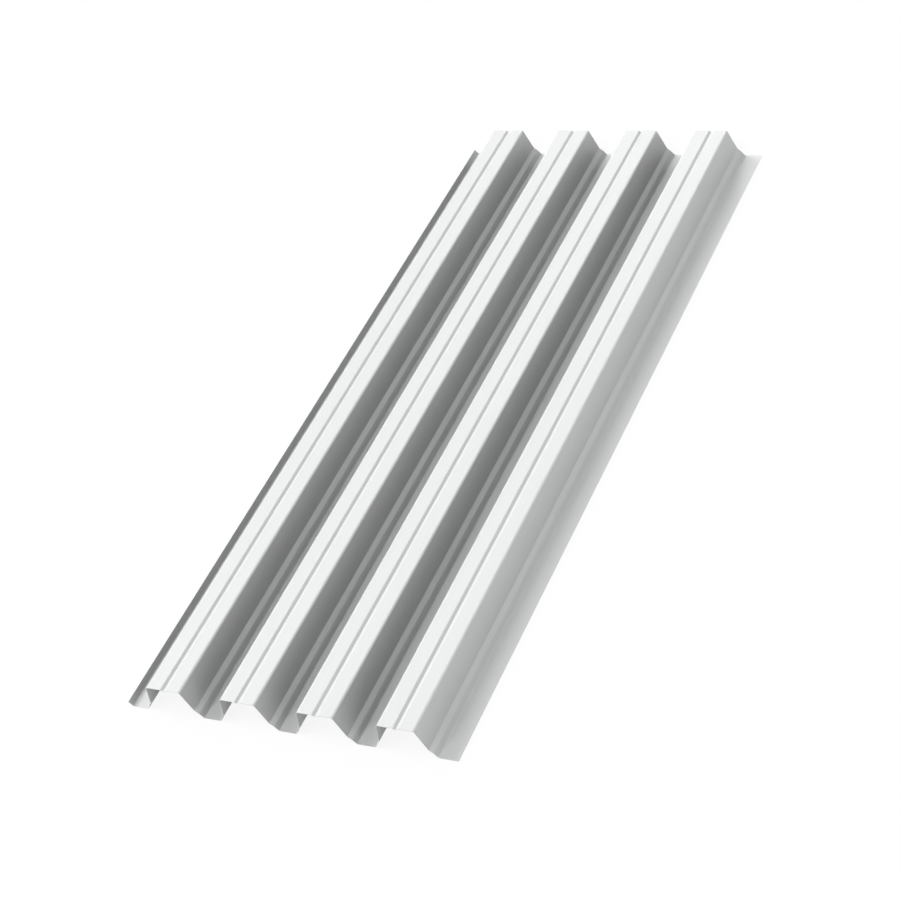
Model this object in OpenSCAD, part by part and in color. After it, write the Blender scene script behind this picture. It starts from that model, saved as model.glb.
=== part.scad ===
// Profiled steel sheet with trapezoidal ribs, roll-formed from one coil and cut to length.
// It lies on a floor, troughs down. X runs across the ribs, Y along them, Z up. The origin is
// under the middle of the sheet, on the floor. The lipped edge is at -X.

/* [Sheet] */
// Length of the sheet along its ribs
length = 1860; // [500:5:4000]
// Thickness of the coated steel
sheet_t = 0.8; // [0.5:0.05:1.2]
// Inside radius of the bends of ribs and flanges
bend_r = 4.5; // [1:0.5:6]

/* [Ribs] */
// Number of ribs across the sheet
rib_count = 4; // [2:1:6]
// Distance from one rib to the next, which the cover width is a multiple of
rib_pitch = 187.5; // [175:0.5:210]
// Height of a crest over a trough, from upper face to upper face
rib_h = 75; // [60:1:90]
// Width of a crest between the corners of its webs
crest_w = 85; // [70:1:95]

/* [Webs] */
// Run of a web's steep upper part, across the sheet
web_run = 14; // [8:0.2:18]
// Height of the stiffening step's upper corner over the trough
step_h = 21; // [19:0.5:30]
// Run of the stiffening step, across the sheet
step_run = 8.5; // [6:0.5:12]
// Drop of the stiffening step
step_drop = 9; // [5:0.5:10]
// Run of a web's foot, from the step to the trough
foot_run = 7.6; // [6:0.5:10]

/* [Crest groove] */
// Width of the stiffening groove along each crest, between the corners of its flanks
groove_w = 14; // [10:0.5:20]
// Depth of the groove, down to the corner of its flanks
groove_depth = 4.2; // [3:0.1:6]
// Inside radius of the groove's bends
groove_r = 3.5; // [1:0.25:4]
// Distance of the groove from the crest's middle, towards the plain flange
groove_shift = 1; // [-3:0.5:3]

/* [Edges] */
// Flat width of the flange at the lipped edge
lap_flange_w = 40; // [25:0.5:60]
// Height of the lip, which rests against the foot of the next sheet's last web
lip_h = 12.5; // [8:0.5:20]
// Flat width of the plain flange at the other edge
end_flange_w = 44; // [25:0.1:60]

/* [Hidden] */

// Turn of one facet of a bend
facet_turn = 15;
// Run and height of one whole web, and of its foot
web_w = web_run + step_run + foot_run;
foot_h = step_h - step_drop;
// Run of the lip, which leans as a web's foot does
lip_run = lip_h * foot_run / foot_h;
// Radii of the bends on the middle line of the steel
bend_mid_r = bend_r + sheet_t / 2;
groove_mid_r = groove_r + sheet_t / 2;
// Where the lip, the first rib and the last rib begin, with the lip's outer corner at 0
first_rib_x = lip_run + lap_flange_w;
last_foot_x = first_rib_x + (rib_count - 1) * rib_pitch + crest_w + 2 * web_w;
// The corners of the lip's cut edge stand out past its middle line
lip_corner_x = sheet_t / 2 * foot_h / norm([foot_run, foot_h]);
overall_w = lip_corner_x + last_foot_x + end_flange_w;

// Each corner of the section is [x, z, bend radius] on the middle line, with z over the troughs.
// rib() goes up one web, over the grooved crest and down the other web.
function web_up(x) = [
    [x, 0, bend_mid_r],
    [x + foot_run, foot_h, bend_mid_r],
    [x + foot_run + step_run, step_h, bend_mid_r],
    [x + web_w, rib_h, bend_mid_r]
];
function web_down(x) = [
    [x, rib_h, bend_mid_r],
    [x + web_run, step_h, bend_mid_r],
    [x + web_run + step_run, foot_h, bend_mid_r],
    [x + web_w, 0, bend_mid_r]
];
function groove(x) = [
    [x - groove_w / 2, rib_h, groove_mid_r],
    [x, rib_h - groove_depth, groove_mid_r],
    [x + groove_w / 2, rib_h, groove_mid_r]
];
function rib(x) = concat(
    web_up(x),
    groove(x + web_w + crest_w / 2 + groove_shift),
    web_down(x + web_w + crest_w)
);
section_corners = concat(
    [[0, lip_h, 0], [lip_run, 0, bend_mid_r]],
    [for (i = [0 : rib_count - 1]) each rib(first_rib_x + i * rib_pitch)],
    [[last_foot_x + end_flange_w, 0, 0]]
);

// Heading of the straight line from a to b, in degrees
function heading(a, b) = atan2(b[1] - a[1], b[0] - a[0]);

// The middle line is a list of [x, z, heading]. A bend at corner p starts and ends
// mid_r * tan(turn / 2) from it, and its points lie mid_r from its centre.
function bend(a, p, b) =
    let (
        from = heading(a, p),
        turn = heading(p, b) - from,
        side = sign(turn),
        back = p[2] * tan(abs(turn) / 2),
        centre = [
            p[0] - back * cos(from) - side * p[2] * sin(from),
            p[1] - back * sin(from) + side * p[2] * cos(from)
        ],
        facets = ceil(abs(turn) / facet_turn)
    )
    [for (i = [0 : facets])
        let (h = from + turn * i / facets)
        [centre[0] + side * p[2] * sin(h), centre[1] - side * p[2] * cos(h), h]];

function cut_edge(p, h) = [[p[0], p[1], h]];

function middle_line(c) =
    let (last = len(c) - 1)
    concat(
        cut_edge(c[0], heading(c[0], c[1])),
        [for (i = [1 : last - 1]) each bend(c[i - 1], c[i], c[i + 1])],
        cut_edge(c[last], heading(c[last - 1], c[last]))
    );

// The face of the steel that lies d over the middle line
function face_line(line, d) = [for (p = line) [p[0] - d * sin(p[2]), p[1] + d * cos(p[2])]];

function reversed(list) = [for (i = [len(list) - 1 : -1 : 0]) list[i]];

// Section of the sheet, with its lower troughs on z = 0 and its width centred on x = 0
module section() {
    line = middle_line(section_corners);
    translate([lip_corner_x - overall_w / 2, sheet_t / 2])
        polygon(concat(face_line(line, sheet_t / 2), reversed(face_line(line, -sheet_t / 2))));
}

module profiled_sheet() {
    color("whitesmoke")
        rotate([90, 0, 0])
            linear_extrude(length, center = true)
                section();
}

profiled_sheet();
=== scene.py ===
"""Looks of the profiled steel sheet: a roll-formed sheet with a white coil coating.

The sheet's section is worked out again here from the same sizes as the construction, with finer
bends, and carried along the length. It stands for the plain solid, inside the same box.
"""

import bpy
import numpy as np
from mathutils import Matrix, Vector


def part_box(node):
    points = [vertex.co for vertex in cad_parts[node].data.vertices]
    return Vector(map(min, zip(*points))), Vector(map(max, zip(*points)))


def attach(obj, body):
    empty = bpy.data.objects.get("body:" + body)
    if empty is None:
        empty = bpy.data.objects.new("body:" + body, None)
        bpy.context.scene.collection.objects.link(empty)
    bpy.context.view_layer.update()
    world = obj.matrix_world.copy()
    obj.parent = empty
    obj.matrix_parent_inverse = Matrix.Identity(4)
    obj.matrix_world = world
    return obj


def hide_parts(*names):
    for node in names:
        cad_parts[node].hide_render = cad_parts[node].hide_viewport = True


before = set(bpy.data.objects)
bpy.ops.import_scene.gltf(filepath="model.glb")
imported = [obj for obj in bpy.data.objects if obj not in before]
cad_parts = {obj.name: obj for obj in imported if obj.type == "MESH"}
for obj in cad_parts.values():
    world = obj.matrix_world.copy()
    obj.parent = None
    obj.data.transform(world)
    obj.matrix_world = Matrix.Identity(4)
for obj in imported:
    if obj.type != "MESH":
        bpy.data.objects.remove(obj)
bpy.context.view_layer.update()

MM = 0.001

# Sizes of the sheet in millimetres, the same as in the construction
SHEET_T = 0.8
BEND_R = 4.5
RIB_COUNT = 4
RIB_PITCH = 187.5
RIB_H = 75.0
CREST_W = 85.0
WEB_RUN = 14.0
STEP_H = 21.0
STEP_RUN = 8.5
STEP_DROP = 9.0
FOOT_RUN = 7.6
GROOVE_W = 14.0
GROOVE_DEPTH = 4.2
GROOVE_R = 3.5
GROOVE_SHIFT = 1.0
LAP_FLANGE_W = 40.0
LIP_H = 12.5
END_FLANGE_W = 44.0

WEB_W = WEB_RUN + STEP_RUN + FOOT_RUN
FOOT_H = STEP_H - STEP_DROP
LIP_RUN = LIP_H * FOOT_RUN / FOOT_H

# Camera: azimuth, elevation and roll in degrees, the point it looks at, the distance from that
# point, the lens in millimetres and how far it sees
VIEW_ANGLES = (40.48, 39.80, -23.68)
VIEW_CENTRE = Vector((0.0389, -0.1601, 0.04))
VIEW_DISTANCE = 4.7213
LENS = 85.64
VIEW_REACH = 100

# Mesh of the sheet: the most that one facet of a bend turns, and in millimetres the spacing of the
# rows along the sheet and of the stations on a flat, and how near a flat's ends the outer ones lie
FACET_TURN = np.radians(6.0)
ROW_STEP = 32.0
FLAT_STEP = 12.0
FLAT_MARGIN = 1.0
# The turn above which a station counts as part of a bend, and above which an edge is shaded sharp
BENT_TURN = np.radians(0.5)
SHARP_TURN = np.radians(40)

# Finishes, each with a light and a deep tint: the coat seen from above, the back coat and the bare
# steel of the cut edges
COAT_TINTS = ((0.872, 0.889, 0.880), (0.848, 0.865, 0.856))
BACK_TINTS = ((0.800, 0.812, 0.806), (0.752, 0.766, 0.760))
STEEL_TINTS = ((0.76, 0.77, 0.77), (0.62, 0.63, 0.64))
# How far a coat's shade strays from its middle until it is all light or all deep, and how much the
# smoothest and the roughest places differ from the coat's roughness
SHADE_REACH = 0.15
SMOOTHER = 0.08
ROUGHER = 0.07
# Depth of a coat's soft waves, rolling lines and peel, in metres
WAVE_DEPTH = 0.6 * MM
LINE_DEPTH = 0.06 * MM
PEEL_DEPTH = 0.03 * MM
# Primer and zinc show at the two ends, where the shear broke the coat. In metres: where the sheet
# ends, how far back from there the coat begins to thin, over what width it thins out and how far
# that line wanders
BARE_TINT = (0.66, 0.68, 0.67)
SHEET_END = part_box("profiled_sheet")[1][1]
BREAK_BACK = 0.9 * MM
BREAK_WIDTH = 0.4 * MM
BREAK_WANDER = 1.2 * MM
# Heights in the cut steel between which the smooth cut band gives way to the torn one, and the
# depth of the shear's marks, in metres
TORN_FROM = 0.28 * MM
TORN_TO = 0.40 * MM
MARK_DEPTH = 0.03 * MM
# Roughness of the cut steel, from the smoothest place to the roughest
STEEL_ROUGHNESS = (0.30, 0.58)

# Lamps: compass turn from the front (90 is the right side) and height in degrees, softness in
# degrees, strength, and how often their light is passed on from face to face
LAMPS = {
    "left_key": (256.5, 34.5, 33, 0.514, 0),
    "front_key": (337, 46.7, 32.3, 0.582, 0),
    "back_low": (200, 18.4, 21, 0.274, 0),
    "back_right": (128, 35.6, 14.7, 0.163, 0),
    "right_low": (89, 8.4, 50, 0.13, 0),
    "right_front": (60, 8, 24, 0.058, 12),
    "left_front": (300, 8, 24, 0.066, 12),
}
# The same for the lamp over the floor, which the floor passes on to the sheet's sides
FLOOR_LAMPS = {"floor_top": (290, 70, 30, 0.925, 1)}
# Strength of the surround's light on the sheet
FILL = 0.015
# Floor: half its side in metres, its paleness for the light that it passes on to the sheet, what
# it gives off where it is seen, and how much the light that falls on it adds to that
FLOOR_HALF = 20
FLOOR_PALE = 0.8
FLOOR_GLOW = 0.905
FLOOR_SHADE = 0.055


def section_corners():
    """Corners of the middle line from lip to plain flange, as rows of x, z and bend radius.

    A rib goes up one web, over the grooved crest and down the mirrored web, and every rib lies one
    pitch beyond the one before it.
    """
    bend_r, groove_r = BEND_R + SHEET_T / 2, GROOVE_R + SHEET_T / 2
    up = np.array([[0, 0], [FOOT_RUN, FOOT_H], [FOOT_RUN + STEP_RUN, STEP_H], [WEB_W, RIB_H]])
    down = np.column_stack([2 * WEB_W + CREST_W - up[::-1, 0], up[::-1, 1]])
    half = GROOVE_W / 2
    groove = np.array([[-half, RIB_H], [0, RIB_H - GROOVE_DEPTH], [half, RIB_H]])
    groove[:, 0] += WEB_W + CREST_W / 2 + GROOVE_SHIFT
    rib = np.vstack([up, groove, down])
    radii = np.repeat([bend_r, groove_r, bend_r], [len(up), len(groove), len(down)])
    rows = [[0, LIP_H, 0], [LIP_RUN, 0, bend_r]]
    first_rib_x = LIP_RUN + LAP_FLANGE_W
    for i in range(RIB_COUNT):
        shift = first_rib_x + i * RIB_PITCH
        rows += np.column_stack([rib[:, 0] + shift, rib[:, 1], radii]).tolist()
    last_foot_x = rows[-1][0]
    rows.append([last_foot_x + END_FLANGE_W, 0, 0])
    return np.array(rows)


def middle_line(corners):
    """Stations along the section as rows of x, z and heading.

    At a corner with turn a and radius r the arc starts r * tan(a / 2) before the corner, and its
    points are centre + r * (sin h, -cos h) for headings h, mirrored for a turn to the right.
    Flats between the arcs get evenly spaced stations.
    """
    step = np.diff(corners[:, :2], axis=0)
    heading = np.arctan2(step[:, 1], step[:, 0])
    stations = [[*corners[0, :2], heading[0]]]
    for i in range(1, len(corners) - 1):
        a, b = heading[i - 1], heading[i]
        turn, r = b - a, corners[i, 2]
        side, back = np.sign(turn), r * np.tan(abs(turn) / 2)
        centre = corners[i, :2] - back * np.array([np.cos(a), np.sin(a)])
        centre += side * r * np.array([-np.sin(a), np.cos(a)])
        h = np.linspace(a, b, int(np.ceil(abs(turn) / FACET_TURN)) + 1)
        x = centre[0] + side * r * np.sin(h)
        z = centre[1] - side * r * np.cos(h)
        arc = np.column_stack([x, z, h])
        stations += flat_between(stations[-1], arc[0])
        stations += arc.tolist()
    end = [*corners[-1, :2], heading[-1]]
    stations += flat_between(stations[-1], end) + [end]
    return np.array(stations)


def flat_between(a, b):
    """Stations inside the flat from a to b, evenly spaced from one margin to the other.

    With the flat's own ends, the outer ones are close pairs that keep its shading flat. A flat
    that is too narrow for them gets none.
    """
    a, b = np.array(a), np.array(b)
    width = np.linalg.norm(b[:2] - a[:2])
    if width < 3 * FLAT_MARGIN:
        return []
    count = int(np.ceil(width / FLAT_STEP)) + 1
    shares = np.linspace(FLAT_MARGIN, width - FLAT_MARGIN, count) / width
    return [[*(a[:2] + share * (b[:2] - a[:2])), b[2]] for share in shares]


def sheet_grid():
    """Points of both faces, as arrays of (rows along Y, stations across X, xyz), in metres.

    The faces lie half a thickness to either side of the middle line, along (-sin h, cos h) at
    heading h, and the same section stands at every row. Its lowest corner is the CAD box's.
    """
    line = middle_line(section_corners())
    normal = np.column_stack([-np.sin(line[:, 2]), np.cos(line[:, 2])])
    upper = line[:, :2] + normal * SHEET_T / 2
    lower = line[:, :2] - normal * SHEET_T / 2
    lo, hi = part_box("profiled_sheet")
    shift = np.array([lo[0], lo[2]]) / MM - np.minimum(upper, lower).min(axis=0)
    length = (hi[1] - lo[1]) / MM
    y = np.linspace(lo[1] / MM, hi[1] / MM, int(np.ceil(length / ROW_STEP)) + 1)
    faces = []
    for face in (upper + shift, lower + shift):
        grid = np.empty((len(y), len(face), 3))
        grid[:, :, 0] = face[:, 0]
        grid[:, :, 1] = y[:, None]
        grid[:, :, 2] = face[:, 1]
        faces.append(grid * MM)
    return faces


def quads(index):
    """Quads between neighbours of a grid of vertex numbers."""
    corners = [index[:-1, :-1], index[:-1, 1:], index[1:, 1:], index[1:, :-1]]
    return np.stack(corners, axis=-1).reshape(-1, 4)


def developed(face):
    """Distance walked across a face from the lip, for each station of its first row."""
    step = np.diff(face[0], axis=0)
    return np.concatenate([[0.0], np.cumsum(np.linalg.norm(step, axis=1))])


def bent(face):
    """1 at each station of a face's first row where the section turns there, and 0 on its flats."""
    step = np.diff(face[0], axis=0)
    heading = np.arctan2(step[:, 2], step[:, 0])
    turn = np.abs(np.diff(heading, prepend=heading[0], append=heading[-1]))
    return (turn > BENT_TURN).astype(float)


def build_sheet():
    """The sheet as one closed mesh: upper face, lower face and the four cut edges.

    The map "unrolled" gives every face the distance across the unrolled strip and the distance
    along it, both in metres; on a cut edge it gives the distance along the edge and the height in
    the steel. The attribute "bend" is 1 along the bends, where the forming rolls pressed the coat.
    """
    upper, lower = sheet_grid()
    rows, stations = upper.shape[:2]
    top = np.arange(rows * stations).reshape(rows, stations)
    under = top + rows * stations
    front = np.stack([under[0], top[0]])
    back = np.stack([top[-1], under[-1]])
    left = np.stack([top[:, 0], under[:, 0]])
    right = np.stack([under[:, -1], top[:, -1]])
    parts = [quads(top), quads(under)[:, ::-1]]
    parts += [quads(edge) for edge in (front, back, left, right)]
    corners = np.vstack(parts)
    vertices = np.vstack([upper.reshape(-1, 3), lower.reshape(-1, 3)])

    across = np.tile(developed(upper), 2 * rows)
    along = vertices[:, 1]
    height = np.repeat([SHEET_T * MM, 0.0], rows * stations)
    sizes = [len(part) for part in parts]
    faces_end, ends_end = sum(sizes[:2]), sum(sizes[:4])
    unrolled = np.empty((len(corners), 4, 2))
    unrolled[:, :, 0] = across[corners]
    unrolled[:, :, 1] = along[corners]
    unrolled[faces_end:, :, 1] = height[corners[faces_end:]]
    unrolled[ends_end:, :, 0] = along[corners[ends_end:]]

    # Finishes in the order in which they are put on the sheet: coat, back coat, cut steel
    finishes = np.repeat([0, 1, 2], [sizes[0], sizes[1], sum(sizes[2:])])
    pressed = np.tile(bent(upper), 2 * rows)
    mesh = bpy.data.meshes.new("coated_sheet")
    mesh.from_pydata(vertices.tolist(), [], corners.tolist())
    mesh.polygons.foreach_set("material_index", finishes)
    mesh.polygons.foreach_set("use_smooth", np.ones(len(corners), bool))
    mesh.uv_layers.new(name="unrolled").uv.foreach_set("vector", unrolled.ravel())
    mesh.attributes.new("bend", "FLOAT", "POINT").data.foreach_set("value", pressed)
    mesh.set_sharp_from_angle(angle=SHARP_TURN)
    mesh.update()
    piece = bpy.data.objects.new("coated_sheet", mesh)
    bpy.context.scene.collection.objects.link(piece)
    return piece


class Finish:
    """A material being built: its Principled shader and short ways to add nodes to it."""

    def __init__(self, name, metallic=0.0):
        self.material = bpy.data.materials.new(name)
        self.material.use_nodes = True
        self.nodes = self.material.node_tree.nodes
        self.link = self.material.node_tree.links.new
        self.shader = self.nodes["Principled BSDF"]
        self.shader.inputs["Metallic"].default_value = metallic
        self.place = self.nodes.new("ShaderNodeTexCoord").outputs["Object"]
        unrolled = self.nodes.new("ShaderNodeUVMap")
        unrolled.uv_map = "unrolled"
        self.strip = unrolled.outputs["UV"]

    def give(self, name, value):
        """Put a value, colour or normal on the shader."""
        self.link(value, self.shader.inputs[name])

    def drawn_out(self, along):
        """The unrolled map with its second axis scaled, so that a noise on it is drawn out there."""
        mapping = self.nodes.new("ShaderNodeMapping")
        mapping.inputs["Scale"].default_value = (1.0, along, 1.0)
        self.link(self.strip, mapping.inputs["Vector"])
        return mapping.outputs["Vector"]

    def noise(self, source, scale, detail, roughness=0.5):
        """Noise on some coordinates in metres, with 0.5 as its mean."""
        texture = self.nodes.new("ShaderNodeTexNoise")
        texture.inputs["Scale"].default_value = scale
        texture.inputs["Detail"].default_value = detail
        texture.inputs["Roughness"].default_value = roughness
        self.link(source, texture.inputs["Vector"])
        return texture.outputs["Fac"]

    def carried(self, name):
        """A value that the mesh carries at its points."""
        attribute = self.nodes.new("ShaderNodeAttribute")
        attribute.attribute_name = name
        return attribute.outputs["Fac"]

    def second(self):
        """The unrolled map's second axis: along the sheet, or on a cut edge up in the steel."""
        split = self.nodes.new("ShaderNodeSeparateXYZ")
        self.link(self.strip, split.inputs["Vector"])
        return split.outputs["Y"]

    def from_middle(self):
        """Distance along the sheet from its middle, in metres."""
        size = self.nodes.new("ShaderNodeMath")
        size.operation = "ABSOLUTE"
        self.link(self.second(), size.inputs[0])
        return size.outputs[0]

    def span(self, value, low, high, to_low=0.0, to_high=1.0):
        """The value's range from low to high carried to to_low .. to_high, and held beyond it."""
        node = self.nodes.new("ShaderNodeMapRange")
        ends = {"From Min": low, "From Max": high, "To Min": to_low, "To Max": to_high}
        for name, number in ends.items():
            node.inputs[name].default_value = number
        self.link(value, node.inputs["Value"])
        return node.outputs["Result"]

    def sum(self, *parts):
        """Sum of values, each given with its weight."""
        total = None
        for value, weight in parts:
            node = self.nodes.new("ShaderNodeMath")
            node.operation = "MULTIPLY_ADD"
            self.link(value, node.inputs[0])
            node.inputs[1].default_value = weight
            if total is None:
                node.inputs[2].default_value = 0.0
            else:
                self.link(total, node.inputs[2])
            total = node.outputs[0]
        return total

    def blend(self, fac, light, deep):
        """Colour between two, each a tint or another node's colour."""
        node = self.nodes.new("ShaderNodeMix")
        node.data_type = "RGBA"
        for name, colour in (("A", light), ("B", deep)):
            if isinstance(colour, tuple):
                node.inputs[name].default_value = (*colour, 1)
            else:
                self.link(colour, node.inputs[name])
        self.link(fac, node.inputs["Factor"])
        return node.outputs["Result"]

    def bump(self, height, distance, before=None):
        """The surface's normal tilted by a relief of that depth, on top of an earlier one."""
        node = self.nodes.new("ShaderNodeBump")
        node.inputs["Distance"].default_value = distance
        self.link(height, node.inputs["Height"])
        if before is not None:
            self.link(before, node.inputs["Normal"])
        return node.outputs["Normal"]


def coat(name, tints, roughness, lines):
    """A rolled-on paint: faint lines along the rolling, mottling, soft waves in the flats, peel.

    The forming rolls polished it along the bends, and the shear broke it back at the two cut ends.
    The value lines says how strong the rolling lines are. A noise's mean is 0.5, so the middle of
    the shade is half the sum of its weights.
    """
    finish = Finish(name)
    fine_lines = finish.noise(finish.drawn_out(0.0016), scale=620, detail=3.0, roughness=0.6)
    broad_lines = finish.noise(finish.drawn_out(0.012), scale=70, detail=2.0)
    mottle = finish.noise(finish.place, scale=230, detail=3.0, roughness=0.55)
    clouds = finish.noise(finish.place, scale=6, detail=3.0)
    waves = finish.noise(finish.drawn_out(0.3), scale=14, detail=1.0)
    peel = finish.noise(finish.strip, scale=650, detail=1.5)
    chips = finish.noise(finish.strip, scale=900, detail=2.0)
    pressed = finish.carried("bend")

    tones = [(fine_lines, 0.40 * lines), (broad_lines, 0.40 * lines), (mottle, 0.40), (clouds, 0.30)]
    middle = 0.5 * sum(weight for _, weight in tones)
    shade = finish.sum(*tones, (pressed, -0.03))
    whole = finish.blend(finish.span(shade, middle - SHADE_REACH, middle + SHADE_REACH), *tints)
    thinning = SHEET_END - BREAK_BACK + BREAK_WANDER / 2
    ragged = finish.sum((finish.from_middle(), 1.0), (chips, BREAK_WANDER))
    broken = finish.span(ragged, thinning, thinning + BREAK_WIDTH)
    finish.give("Base Color", finish.blend(broken, whole, BARE_TINT))

    gloss = finish.sum((broad_lines, 0.5), (mottle, 0.35), (clouds, 0.4), (pressed, -0.30))
    smooth, rough = roughness - SMOOTHER, roughness + ROUGHER
    finish.give("Roughness", finish.span(gloss, low=0.20, high=0.95, to_low=smooth, to_high=rough))

    drawn = finish.sum((fine_lines, 0.6 * lines), (broad_lines, 0.4 * lines))
    relief = finish.bump(waves, WAVE_DEPTH)
    relief = finish.bump(drawn, LINE_DEPTH, relief)
    relief = finish.bump(peel, PEEL_DEPTH, relief)
    finish.give("Normal", relief)
    return finish.material


def cut_steel():
    """Sheared edge of the strip: a smooth cut band, a rough torn band and upright shear lines."""
    finish = Finish("cut_steel", metallic=0.7)
    shear_lines = finish.noise(finish.drawn_out(0.12), scale=2600, detail=2.0)
    grains = finish.noise(finish.place, scale=5200, detail=3.0, roughness=0.6)
    torn = finish.span(finish.second(), TORN_FROM, TORN_TO)
    shade = finish.sum((shear_lines, 0.7), (grains, 0.5), (torn, 0.35))
    finish.give("Base Color", finish.blend(finish.span(shade, low=0.35, high=1.15), *STEEL_TINTS))
    coarse = finish.sum((torn, 1.0), (grains, 0.4))
    finish.give("Roughness", finish.span(coarse, 0.0, 1.0 + 0.4, *STEEL_ROUGHNESS))
    marks = finish.sum((shear_lines, 0.6), (grains, 0.4))
    finish.give("Normal", finish.bump(marks, MARK_DEPTH))
    return finish.material


def add_camera():
    """Camera at the photograph's viewpoint.

    Its azimuth, elevation and roll turn it about the point that it looks at.
    """
    azimuth, elevation, roll = np.radians(VIEW_ANGLES)
    forward = Vector((
        -np.sin(azimuth) * np.cos(elevation),
        np.cos(azimuth) * np.cos(elevation),
        -np.sin(elevation),
    ))
    level = forward.cross(Vector((0, 0, 1))).normalized()
    rise = level.cross(forward)
    right = level * np.cos(roll) + rise * np.sin(roll)
    up = rise * np.cos(roll) - level * np.sin(roll)
    camera = bpy.data.objects.new("camera", bpy.data.cameras.new("camera"))
    camera.data.lens = LENS
    camera.data.clip_end = VIEW_REACH
    turn = Matrix((right, up, -forward)).transposed()
    place = Matrix.Translation(VIEW_CENTRE - forward * VIEW_DISTANCE)
    camera.matrix_world = place @ turn.to_4x4()
    bpy.context.scene.collection.objects.link(camera)
    bpy.context.scene.camera = camera


def seen_directly(nodes, link):
    """1 for what the camera, gloss and glass see, 0 for the light that falls on the sheet."""
    path = nodes.new("ShaderNodeLightPath")
    total = path.outputs["Is Camera Ray"]
    for name in ("Is Glossy Ray", "Is Transmission Ray"):
        node = nodes.new("ShaderNodeMath")
        node.operation = "MAXIMUM"
        link(total, node.inputs[0])
        link(path.outputs[name], node.inputs[1])
        total = node.outputs[0]
    return total


def add_floor():
    """A large pale floor: white where it is seen, with the sheet's shadow faint on it.

    Returned is the collection that holds it alone, for the lamp that lights nothing else.
    """
    material = bpy.data.materials.new("pale_floor")
    material.use_nodes = True
    nodes, link = material.node_tree.nodes, material.node_tree.links.new
    nodes.clear()
    pale, faint = nodes.new("ShaderNodeBsdfDiffuse"), nodes.new("ShaderNodeBsdfDiffuse")
    pale.inputs["Color"].default_value = (FLOOR_PALE, FLOOR_PALE, FLOOR_PALE, 1)
    faint.inputs["Color"].default_value = (FLOOR_SHADE, FLOOR_SHADE, FLOOR_SHADE, 1)
    glow = nodes.new("ShaderNodeEmission")
    glow.inputs["Strength"].default_value = FLOOR_GLOW
    white, either = nodes.new("ShaderNodeAddShader"), nodes.new("ShaderNodeMixShader")
    link(faint.outputs[0], white.inputs[0])
    link(glow.outputs[0], white.inputs[1])
    link(seen_directly(nodes, link), either.inputs[0])
    link(pale.outputs[0], either.inputs[1])
    link(white.outputs[0], either.inputs[2])
    link(either.outputs[0], nodes.new("ShaderNodeOutputMaterial").inputs["Surface"])
    mesh = bpy.data.meshes.new("floor")
    half = FLOOR_HALF
    corners = [(-half, -half, 0), (half, -half, 0), (half, half, 0), (-half, half, 0)]
    mesh.from_pydata(corners, [], [(0, 1, 2, 3)])
    mesh.materials.append(material)
    floor = bpy.data.objects.new("floor", mesh)
    bpy.context.scene.collection.objects.link(floor)
    alone = bpy.data.collections.new("floor_only")
    alone.objects.link(floor)
    return alone


def add_world():
    """A white surround that lights the sheet only at the fill's strength."""
    world = bpy.data.worlds.new("studio")
    bpy.context.scene.world = world
    world.use_nodes = True
    nodes, link = world.node_tree.nodes, world.node_tree.links.new
    surround = nodes["Background"]
    surround.inputs["Color"].default_value = (1, 1, 1, 1)
    fill = nodes.new("ShaderNodeBackground")
    fill.inputs["Color"].default_value = (1, 1, 1, 1)
    fill.inputs["Strength"].default_value = FILL
    either = nodes.new("ShaderNodeMixShader")
    link(seen_directly(nodes, link), either.inputs[0])
    link(fill.outputs[0], either.inputs[1])
    link(surround.outputs[0], either.inputs[2])
    link(either.outputs[0], nodes["World Output"].inputs["Surface"])


def add_lamps(lamps, lit_only=None):
    """Soft distant lamps; a strength of 1 lights a face square on to it at its own colour."""
    for name, (azimuth, height, softness, strength, bounces) in lamps.items():
        light = bpy.data.lights.new(name, "SUN")
        light.energy = strength * np.pi
        light.angle = np.radians(softness)
        light.cycles.max_bounces = bounces
        light.cycles.use_multiple_importance_sampling = bounces > 1
        a, h = np.radians((azimuth, height))
        towards = Vector((np.sin(a) * np.cos(h), -np.cos(a) * np.cos(h), np.sin(h)))
        lamp = bpy.data.objects.new(name, light)
        lamp.matrix_world = towards.to_track_quat("Z", "Y").to_matrix().to_4x4()
        if lit_only is not None:
            lamp.light_linking.receiver_collection = lit_only
        bpy.context.scene.collection.objects.link(lamp)


sheet = build_sheet()
sheet.data.materials.append(coat("white_coil_coat", COAT_TINTS, roughness=0.44, lines=1.0))
sheet.data.materials.append(coat("back_coat", BACK_TINTS, roughness=0.55, lines=1.3))
sheet.data.materials.append(cut_steel())
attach(sheet, "root")
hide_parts("profiled_sheet")

add_camera()
floor_only = add_floor()
add_world()
add_lamps(LAMPS)
add_lamps(FLOOR_LAMPS, floor_only)
bpy.context.scene.view_settings.view_transform = "Standard"
